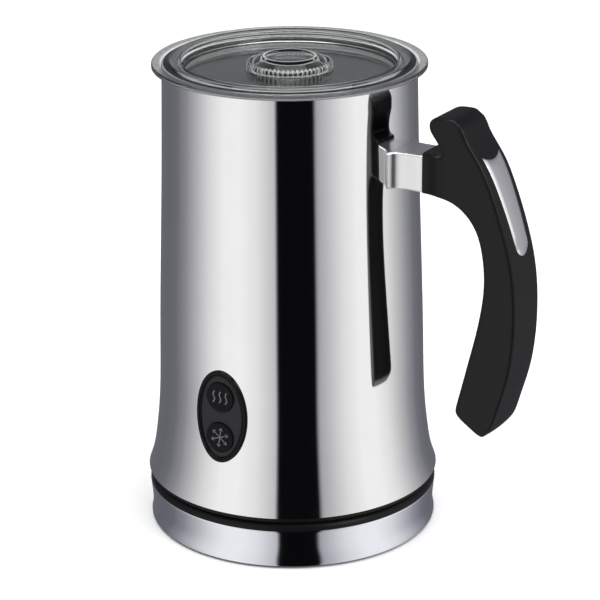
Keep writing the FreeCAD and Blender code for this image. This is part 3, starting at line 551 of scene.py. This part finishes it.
coil_low, coil_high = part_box("whisk_coil")
WIRE_R = 0.4 * MM
COIL_TURNS = 84
STEPS_A_TURN = 14
coil_z = (coil_low.z + coil_high.z) / 2
winding_r = (coil_high.z - coil_low.z) / 2 - WIRE_R
ring_r = coil_high.x - winding_r - WIRE_R
helix = []
for i in range(COIL_TURNS * STEPS_A_TURN):
    around_ring = tau * i / (COIL_TURNS * STEPS_A_TURN)
    wind = around_ring * COIL_TURNS
    reach = ring_r + winding_r * cos(wind)
    rise = winding_r * sin(wind)
    helix.append(Vector((reach * cos(around_ring), reach * sin(around_ring), coil_z + rise)))
wire_steel = metal("wire_steel", (0.62, 0.62, 0.63), 0.22, 0.5e-6)
piece("whisk_spring", *tube(helix, WIRE_R), "whisk", "plain_steel", wire_steel, "whisk_coil")
dress("whisk_plastic", plastic("whisk_moulding", (0.022, 0.022, 0.024), 0.38), 0.15 * MM)


# Lid: clear rigid plastic, moulded in one piece with a raised bead, a dished top and a fluted knob. Its
# plug carries a soft seal that grips the pot.

rim = shell_high.z
lid_low, lid_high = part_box("lid")
FLUTES = 56
FLUTE_DEPTH = 0.6 * MM
LID_WALL = 2 * MM
flange_r = lid_high.x
flange_top = rim + 1.8 * MM
bead_top = flange_top + 0.8 * MM
plug_r = pot_r - 0.8 * MM
recess_r = pot_r - 2.3 * MM
dish = rim - 1.5 * MM
knob_r = 16.3 * MM
knob_top_r = 9.75 * MM
knob_top = dish + 4.9 * MM
inner_r = knob_r - LID_WALL
seal_low, seal_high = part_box("lid_seal")
lid_line = rounded([
    (0, knob_top - 0.6 * MM - LID_WALL, 0), (knob_top_r, knob_top - 0.6 * MM - LID_WALL, 2 * MM),
    (inner_r - 1.0 * MM, dish + 0.2 * MM, 0.6 * MM), (inner_r, dish - LID_WALL, 0.2 * MM),
    (plug_r - LID_WALL - 0.6 * MM, dish - LID_WALL, 1 * MM), (plug_r - LID_WALL, lid_low.z, 0.3 * MM),
    (plug_r, lid_low.z, 0.3 * MM), (plug_r, seal_low.z - 0.1 * MM, 0.1 * MM),
    (plug_r - 1 * MM, seal_low.z - 0.1 * MM, 0.1 * MM), (plug_r - 1 * MM, seal_high.z + 0.1 * MM, 0.1 * MM),
    (plug_r, seal_high.z + 0.1 * MM, 0.1 * MM), (plug_r, rim, 0.2 * MM), (flange_r, rim, 0.3 * MM),
    (flange_r, flange_top, 0.6 * MM), (recess_r + 5.6 * MM, flange_top, 0.5 * MM),
    (recess_r + 4.6 * MM, bead_top, 0.6 * MM), (recess_r + 0.1 * MM, bead_top, 0.8 * MM),
    (recess_r - 0.5 * MM, dish, 1.2 * MM), (knob_r, dish, 0.3 * MM), (knob_r, knob_top - 2.2 * MM, 1.2 * MM),
    (knob_top_r + 2.5 * MM, knob_top - 0.9 * MM, 1.5 * MM), (knob_top_r + 0.5 * MM, knob_top, 0.35 * MM),
    (knob_top_r - 0.5 * MM, knob_top, 0.35 * MM), (knob_top_r - 2.6 * MM, knob_top - 0.6 * MM, 1.5 * MM),
    (0, knob_top - 0.6 * MM, 0)], 6)


def fluted(r, z, angle):
    """Draws the knob's side in at each flute."""
    if r < knob_r - 0.7 * MM or r > knob_r + 0.5 * MM or z < dish + 0.25 * MM:
        return r
    return r - FLUTE_DEPTH * (0.5 + 0.5 * cos(FLUTES * angle))


clear = Finish("clear_plastic")
haze = clear.noise(12 * MM, 3.0)
scuffs = clear.noise(0.3 * MM, 2.0, (1, 14, 14))
place_x = clear.node("ShaderNodeSeparateXYZ", None, {0: clear.place})
place_y = Value(clear, place_x.socket.node.outputs[1])
place_z = Value(clear, place_x.socket.node.outputs[2])
squared = place_x * place_x + place_y * place_y
axis_gap = squared.math("SQRT", squared)
wave = place_y.math("ARCTAN2", place_y, place_x) * FLUTES
# The milky white on the thin ring round the knob's top is a painted highlight. The knob's flute ridges get
# the same milky white.
ridge = (0.0 - wave.math("COSINE", wave)) > 0.55
on_side = (axis_gap > knob_r - 1.3 * MM) - (axis_gap > knob_r + 0.4 * MM)
highlight_ring = (axis_gap > knob_top_r - 0.4 * MM) - (axis_gap > knob_top_r + 0.4 * MM)
ridge_milk_and_highlight = ridge * on_side * (place_z > dish + 0.3 * MM) + highlight_ring * (place_z > knob_top - 0.12 * MM)
beyond_shell = clear.node("ShaderNodeMapRange", None,
                          {"Value": axis_gap, "From Min": shell_r, "From Max": shell_r + 0.9 * MM})
tint = clear.mix(beyond_shell, clear.mix(haze, (0.90, 0.93, 0.92), (0.94, 0.96, 0.955)), (0.55, 0.56, 0.56))
polish = 0.02 + haze * 0.03 + scuffs * 0.015 + beyond_shell * 0.22
glassy = clear.node("ShaderNodeBsdfPrincipled", None,
                    {"Base Color": tint, "Roughness": polish, "IOR": 1.5, "Transmission Weight": 1.0,
                     "Normal": clear.relief(haze, 12e-6)})
# A milky white surface: mixed in as a painted highlight on the knob's top ring, and as milky white on the
# flute ridges.
milk_and_highlight_shader = clear.node("ShaderNodeBsdfPrincipled", None,
                   {"Base Color": clear.mix(haze, (0.60, 0.62, 0.61), (0.70, 0.72, 0.71)), "Roughness": 0.4})
lid_body = clear.node("ShaderNodeMixShader", None, {0: ridge_milk_and_highlight * 0.42, 1: glassy, 2: milk_and_highlight_shader})
clear.node("ShaderNodeOutputMaterial", None, {"Surface": lid_body})
clear_plastic = clear.material
piece("clear_lid_moulding", *lathe(lid_line, FLUTES * 8, fluted), "lid", "clear_lid", clear_plastic, "lid")
seal_rubber = plastic("seal_silicone", (0.42, 0.44, 0.43), 0.5, 0.5 * MM, 4e-6)
dress("silicone", seal_rubber)


# Button panel: a gloss black oval bezel clipped through the shell, a satin grey face and two round dished
# buttons with printed marks.

gloss_black = plastic("gloss_black", (0.002, 0.002, 0.0025), 0.12, 1.2 * MM, 2e-6, 0.0, 0.14)
panel_grey = plastic("panel_grey", (0.016, 0.016, 0.019), 0.42, 0.25 * MM, 5e-6, 0.0, 0.15)
button_black = plastic("button_black", (0.0035, 0.0035, 0.0045), 0.36, 0.25 * MM, 5e-6, 0.0, 0.09)
PANEL_DEPTH = 4.4 * MM
BEZEL_SECTION = [         # distance in from the bezel's edge and out from the shell, in millimetres
    (0, 0), (0, 0.42), (0.2, 0.76), (0.55, 0.9), (1.1, 0.9), (1.32, 0.84), (1.44, 0.62), (1.6, 0.62),
    (1.72, 0.80), (2.02, 0.80), (2.1, 0.7), (2.1, None), (1.3, None), (1.3, 0)]
panel_back = shell_radius(panel_z) - PANEL_DEPTH


def on_panel(x, z, proud):
    """A point standing proud of the shell's curved front."""
    return (x, -sqrt((shell_radius(z) + proud) ** 2 - x * x), z)


def bezel_ring(around_it=192):
    points, faces = [], []
    count = len(BEZEL_SECTION)
    for i in range(around_it):
        c, s = cos(tau * i / around_it), sin(tau * i / around_it)
        for inward, proud in BEZEL_SECTION:
            x = (panel_w / 2 - inward * MM) * c
            z = panel_z + (panel_h / 2 - inward * MM) * s
            points.append((x, -panel_back, z) if proud is None else on_panel(x, z, proud * MM))
        n = (i + 1) % around_it
        for k in range(count):
            m = (k + 1) % count
            faces.append([i * count + k, i * count + m, n * count + m, n * count + k])
    return points, faces


piece("panel_bezel_ring", *bezel_ring(), "jug", "gloss_black", gloss_black, "panel_bezel")
dress("panel_grey", panel_grey, 0.12 * MM)
dress("button_black", button_black, 0.3 * MM)


BUTTON_FLANGE = 0.75 * MM
DISH_R = 60 * MM
PRINT_RISE = 0.04 * MM
MARK_WIDTH = 0.5 * MM
cap_low, cap_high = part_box("hot_button_cap")
button_r = (cap_high.x - cap_low.x) / 2 - BUTTON_FLANGE


def stroke(path, width, face_z, front):
    """A printed line on a dished button: a thin raised strip along (across, up) points."""
    points, faces = [], []
    flat = [Vector(p) for p in path]
    for i, p in enumerate(flat):
        way = (flat[min(i + 1, len(flat) - 1)] - flat[max(i - 1, 0)]).normalized()
        half = width / 2 * min(1.0, 0.45 + 0.55 * min(i, len(flat) - 1 - i))
        off = Vector((-way.y, way.x)) * half
        for q in (p - off, p + off):
            bowl = front - (button_r ** 2 - q.length_squared) / (2 * DISH_R)
            for raised in (-0.03 * MM, PRINT_RISE):
                points.append((q.x, -(bowl + raised), face_z + q.y))
    for i in range(len(flat) - 1):
        a, b = 4 * i, 4 * i + 4
        faces += [[a + 1, a + 3, b + 3, b + 1], [a, b, b + 2, a + 2], [a, a + 1, b + 1, b],
                  [a + 2, b + 2, b + 3, a + 3]]
    end = 4 * (len(flat) - 1)
    faces += [[0, 2, 3, 1], [end, end + 1, end + 3, end + 2]]
    return points, faces


def joined(parts):
    points, faces = [], []
    for more_points, more_faces in parts:
        faces += [[index + len(points) for index in face] for face in more_faces]
        points += more_points
    return points, faces


printed = Finish("pad_print")
wear = printed.noise(0.7 * MM, 3.0)
print_grey = printed.shade(Base_Color=printed.mix(wear, (0.06, 0.06, 0.065), (0.16, 0.16, 0.165)),
                           Roughness=0.45 + wear * 0.2, Specular_IOR_Level=0.3)


def steam_marks(face_z, front):
    strips = []
    for across in (-2.7, 0.0, 2.7):
        wave = [((across + 0.45 - 0.9 * t / 16 - 0.5 * sin(tau * t / 16)) * MM, (2.4 - 4.8 * t / 16) * MM)
                for t in range(17)]
        strips.append(stroke(wave, MARK_WIDTH, face_z, front))
    return joined(strips)


def frost_mark(face_z, front):
    strips = []
    for turned_by in (20, 80, 140):
        way = Vector((cos(radians(turned_by)), sin(radians(turned_by))))
        arm = [way * (k * MM) for k in (-3.9, -2.0, 0.0, 2.0, 3.9)]
        strips.append(stroke(arm, MARK_WIDTH * 0.8, face_z, front))
        for end in (-1, 1):
            tip = way * (3.9 * end * MM)
            for lean in (-1, 1):
                barb = Matrix.Rotation(radians(145 * lean), 2) @ (way * end)
                branch = [tip, tip + barb * 0.7 * MM, tip + barb * 1.4 * MM]
                strips.append(stroke(branch, MARK_WIDTH * 0.75, face_z, front))
    return joined(strips)


for kind, marks in (("hot", steam_marks), ("cold", frost_mark)):
    cap_low, cap_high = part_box(kind + "_button_cap")
    middle = (cap_low.z + cap_high.z) / 2
    piece(kind + "_button_mark", *marks(middle, -cap_low.y), kind + "_button", "button_black", print_grey)


# Handle bracket: a solid polished block, flared where it meets the shell and screwed on from inside.

bracket_steel = metal("bracket_steel", (0.84, 0.84, 0.85), 0.30, 0.4e-6, (20, 1, 1))
dress("bracket_steel", bracket_steel)


# Handle: one moulding in satin black plastic, crowned across its outer face, with softened edges, a narrow
# neck at the bracket and a ledge for the thumb. A screw under the inlay pulls it onto the bracket's tenon.

grip_low, grip_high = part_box("handle_grip")
inlay_low, inlay_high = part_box("handle_inlay")
bracket_low, bracket_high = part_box("handle_bracket")
HALF_W = grip_high.y
NECK_HALF = 7.8 * MM
NECK_RUN = 10.5 * MM
EDGE_R = 1.6 * MM
CROWN = 0.55 * MM
GRAIN_CELL = 0.45 * MM
LEEWAY = 0.25 * MM        # what the smoothing takes off again
seam_x = grip_low.x
SEAM_FOOT = [(8.7, 39.1), (12.7, 39.1), (18.0, 39.1)]
INNER_SIDE = [(24.0, 39.7), (31.0, 43.4), (35.9, 49.6), (38.7, 58.8), (39.6, 69.3), (38.6, 79.8),
              (36.4, 90.8), (33.4, 102.8), (29.3, 119.0)]
HEEL = [(29.0, 122.2), (31.0, 124.6), (34.2, 126.8), (37.4, 128.9), (40.4, 129.8)]
OUTER_SIDE = [(43.2, 128.0), (46.9, 119.8), (50.9, 105.8), (53.1, 90.0), (53.2, 75.8), (51.8, 63.0),
              (48.4, 49.6), (43.4, 35.6), (37.1, 22.9), (31.7, 14.8)]
THUMB_LEDGE = [(29.6, 11.0), (26.6, 9.3), (22.6, 9.0), (19.0, 9.4), (16.6, 11.0), (16.6, 13.8),
               (18.8, 17.2), (20.8, 20.4), (21.2, 22.8)]
SEAM_TOP = [(19.0, 23.8), (15.6, 23.9), (12.7, 23.9), (8.7, 23.9)]


def beside_shell(points):
    """Points given as distance out from the shell and distance under its rim, in millimetres."""
    return [(shell_r + out * MM, rim - drop * MM) for out, drop in points]


def normals_of(line):
    way = np.gradient(line, axis=0)
    return np.stack([way[:, 1], -way[:, 0]], 1) / np.hypot(way[:, 0], way[:, 1])[:, None]


def crown(y):
    return CROWN * (y / HALF_W) ** 2


def eased(t):
    t = np.clip(t, 0, 1)
    return t * t * (3 - 2 * t)


side_points = SEAM_FOOT + INNER_SIDE + HEEL + OUTER_SIDE + THUMB_LEDGE + SEAM_TOP
grip_side = smooth_line(beside_shell(side_points), 320)
side_normals = normals_of(grip_side)
outerness = eased((side_normals[:, 0] - 0.1) / 0.4)
slices = [k * 2 * MM for k in range(4)] + [HALF_W - EDGE_R * (1 - sin(radians(a))) for a in range(0, 91, 15)]
slices = [-y for y in slices[:0:-1]] + slices
grip_points, grip_faces = [], []
for y in slices:
    past = max(0.0, (abs(y) - (HALF_W - EDGE_R)) / EDGE_R)
    inset = crown(y) * outerness + EDGE_R * (1 - sqrt(max(0.0, 1 - past * past)))
    inset = inset - LEEWAY * (1 - outerness)
    for x, z in grip_side - side_normals * inset[:, None]:
        grip_points.append((x, y, z))
count = len(grip_side)
for k in range(len(slices) - 1):
    for i in range(count):
        n = (i + 1) % count
        grip_faces.append([k * count + i, k * count + n, (k + 1) * count + n, (k + 1) * count + i])
grip_faces.append(list(range(count)))
grip_faces.append(list(range((len(slices) - 1) * count, len(slices) * count)))
satin_black = plastic("satin_black", (0.0042, 0.0042, 0.0048), 0.34, 0.28 * MM, 5e-6, 0.0, 0.20)
grip = piece("handle_moulding", grip_points, grip_faces, "jug", "grip_plastic", satin_black, "handle_grip")
grip.modifiers.clear()
cells = grip.modifiers.new("cells", "REMESH")
cells.mode = "VOXEL"
cells.voxel_size = GRAIN_CELL
settle(grip)
soft = bmesh.new()
soft.from_mesh(grip.data)
for _ in range(3):
    bmesh.ops.smooth_vert(soft, verts=soft.verts, factor=0.5, use_axis_x=True, use_axis_y=True,
                          use_axis_z=True)
for vert in soft.verts:
    near_seam = 1 - eased((vert.co.x - seam_x) / NECK_RUN)
    under_thumb = eased((rim - vert.co.z - 20.5 * MM) / (2.5 * MM))
    vert.co.y *= 1 - (1 - NECK_HALF / HALF_W) * near_seam * under_thumb
soft.to_mesh(grip.data)
soft.free()

INLAY_PROUD = 0.5 * MM
INLAY_DEPTH = 0.9 * MM
INLAY_TOP_HALF = 6.6 * MM
INLAY_END_HALF = 4.8 * MM
INLAY_BEVEL = 0.42 * MM
INLAY_HOLLOW = 1.8 * MM
outer_line = grip_side[(outerness > 0.99) & (grip_side[:, 1] > rim - 80 * MM)]
outer_normals = side_normals[(outerness > 0.99) & (grip_side[:, 1] > rim - 80 * MM)]


def on_grip(y, z, proud):
    """A point standing proud of the grip's crowned outer face, straight out from it."""
    x = np.interp(z, outer_line[:, 1], outer_line[:, 0])
    nx = np.interp(z, outer_line[:, 1], outer_normals[:, 0])
    nz = np.interp(z, outer_line[:, 1], outer_normals[:, 1])
    reach = proud - crown(y)
    return (float(x + nx * reach), y, float(z + nz * reach))


def inlay(grow, high, depth, bevel):
    """The tapered strip, grown all round: hollowed across its top end and round at its lower end."""
    low_z, top_z = inlay_low.z - grow, inlay_high.z + grow
    end, wide = INLAY_END_HALF + grow, INLAY_TOP_HALF + grow
    across = [-1, -0.86] + [k / 10 for k in range(-7, 8)] + [0.86, 1]
    along = [0, 0.03] + [k / 24 for k in range(2, 23)] + [0.975, 1]
    points, faces = [], []
    for level in range(2):
        for s in along:
            for v in across:
                foot = low_z + end - sqrt(max(0.0, end ** 2 * (1 - v * v)))
                head = top_z - INLAY_HOLLOW * (1 - v * v)
                border = v in (-1, 1) or s in (0, 1)
                proud = (high - bevel if border else high) if level else -depth
                points.append(on_grip(v * (end + (wide - end) * s), foot + (head - foot) * s, proud))
    row, rows = len(across), len(along)
    for level in range(2):
        base = level * row * rows
        for i in range(rows - 1):
            for k in range(row - 1):
                a = base + i * row + k
                faces.append([a, a + 1, a + row + 1, a + row])
    edge = list(range(row)) + [i * row + row - 1 for i in range(1, rows)]
    edge += [(rows - 1) * row + k for k in range(row - 2, -1, -1)]
    edge += [i * row for i in range(rows - 2, 0, -1)]
    for a, b in zip(edge, edge[1:] + edge[:1]):
        faces.append([a, b, b + row * rows, a + row * rows])
    return points, faces


def sideways(x, z, depth):
    return (x, depth, z)


beyond = seam_x - 20 * MM
cut_low, cut_high = rim - 60 * MM, rim - 21 * MM
seam_cut = [(beyond, cut_low), (seam_x, cut_low), (seam_x, cut_high), (beyond, cut_high)]
tenon_z = (bracket_high.z + bracket_low.z) / 2
TENON_HALF = 4.5 * MM
tenon_end = bracket_high.x + 0.1 * MM
slot_cut = [(beyond, tenon_z - TENON_HALF), (tenon_end, tenon_z - TENON_HALF),
            (tenon_end, tenon_z + TENON_HALF), (beyond, tenon_z + TENON_HALF)]
inlay_seat = inlay(0.15 * MM, 4 * MM, INLAY_DEPTH + 0.1 * MM, 0)
cut(grip, bar(seam_cut, -20 * MM, 20 * MM, sideways),
    bar(slot_cut, -TENON_HALF - 0.1 * MM, TENON_HALF + 0.1 * MM, sideways), inlay_seat)


# Inlay: a strip of satin steel set into the grip's outer face, standing a little proud, with bright bevelled
# edges.

satin_steel = metal("satin_steel", (0.86, 0.86, 0.88), 0.26, 0.5e-6, (1, 1, 40))
piece("handle_inlay_strip", *inlay(0.0, INLAY_PROUD, INLAY_DEPTH, INLAY_BEVEL), "jug", "satin_inlay",
      satin_steel, "handle_inlay")


# What is hidden inside: fasteners, the motor, the heater, the contacts and the boards.

dress("plain_steel", metal("rolled_steel", (0.60, 0.60, 0.61), 0.34, 1e-6, (8, 1, 1)), 0.1 * MM)
dress("screw_steel", metal("zinc_plate", (0.66, 0.67, 0.70), 0.30, 1e-6), 0.1 * MM)
dress("heater_aluminium", metal("cast_aluminium", (0.62, 0.62, 0.63), 0.45, 4e-6), 0.15 * MM)
dress("brass_contact", metal("brass", (0.78, 0.56, 0.24), 0.22, 1e-6))
dress("magnet_metal", metal("nickel_plate", (0.64, 0.62, 0.58), 0.18, 0.5e-6), 0.1 * MM)
dress("winding_copper", metal("enamelled_copper", (0.62, 0.24, 0.10), 0.30, 6e-6, (1, 1, 0.3)))
dress("component_black", plastic("component_black", (0.020, 0.020, 0.021), 0.5), 0.1 * MM)
dress("circuit_green", plastic("circuit_green", (0.010, 0.085, 0.035), 0.35, 0.5 * MM, 3e-6, 0.2), 0.1 * MM)
dress("led_lens", plastic("led_lens", (0.72, 0.70, 0.62), 0.25), 0.1 * MM)
